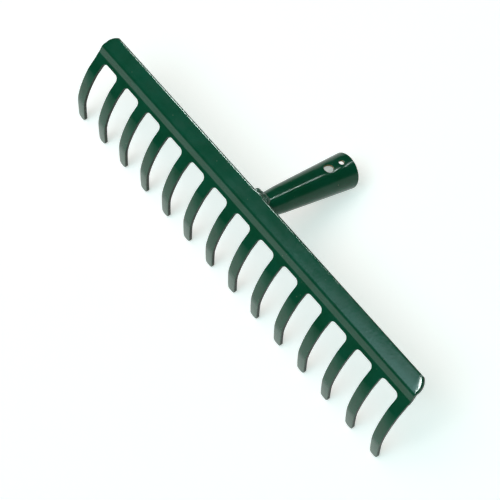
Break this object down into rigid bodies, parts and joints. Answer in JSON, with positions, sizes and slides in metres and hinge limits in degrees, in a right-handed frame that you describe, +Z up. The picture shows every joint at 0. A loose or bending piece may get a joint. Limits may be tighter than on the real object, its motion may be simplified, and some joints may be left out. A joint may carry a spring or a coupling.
{
  "type": "garden rake head",
  "caption": "Level garden rake head pressed from one steel sheet, with curved tines and a tapered tubular socket for a handle.",
  "frame": {"origin": "under the middle of the object, on the surface that the tine ends and the socket's lower rim rest on", "axes": "+X along the head, +Y from the tines towards the handle, +Z up"},
  "size_m": [0.374, 0.1308, 0.0645],
  "materials": {
    "head_paint": "glossy dark green paint",
    "socket_paint": "glossy dark green paint",
    "weld_paint": "glossy dark green paint over a rough weld bead"
  },
  "bodies": {
    "root": {"pressed_head": "head_paint", "handle_socket": "socket_paint", "weld_fillet": "weld_paint"}
  },
  "joints": []
}
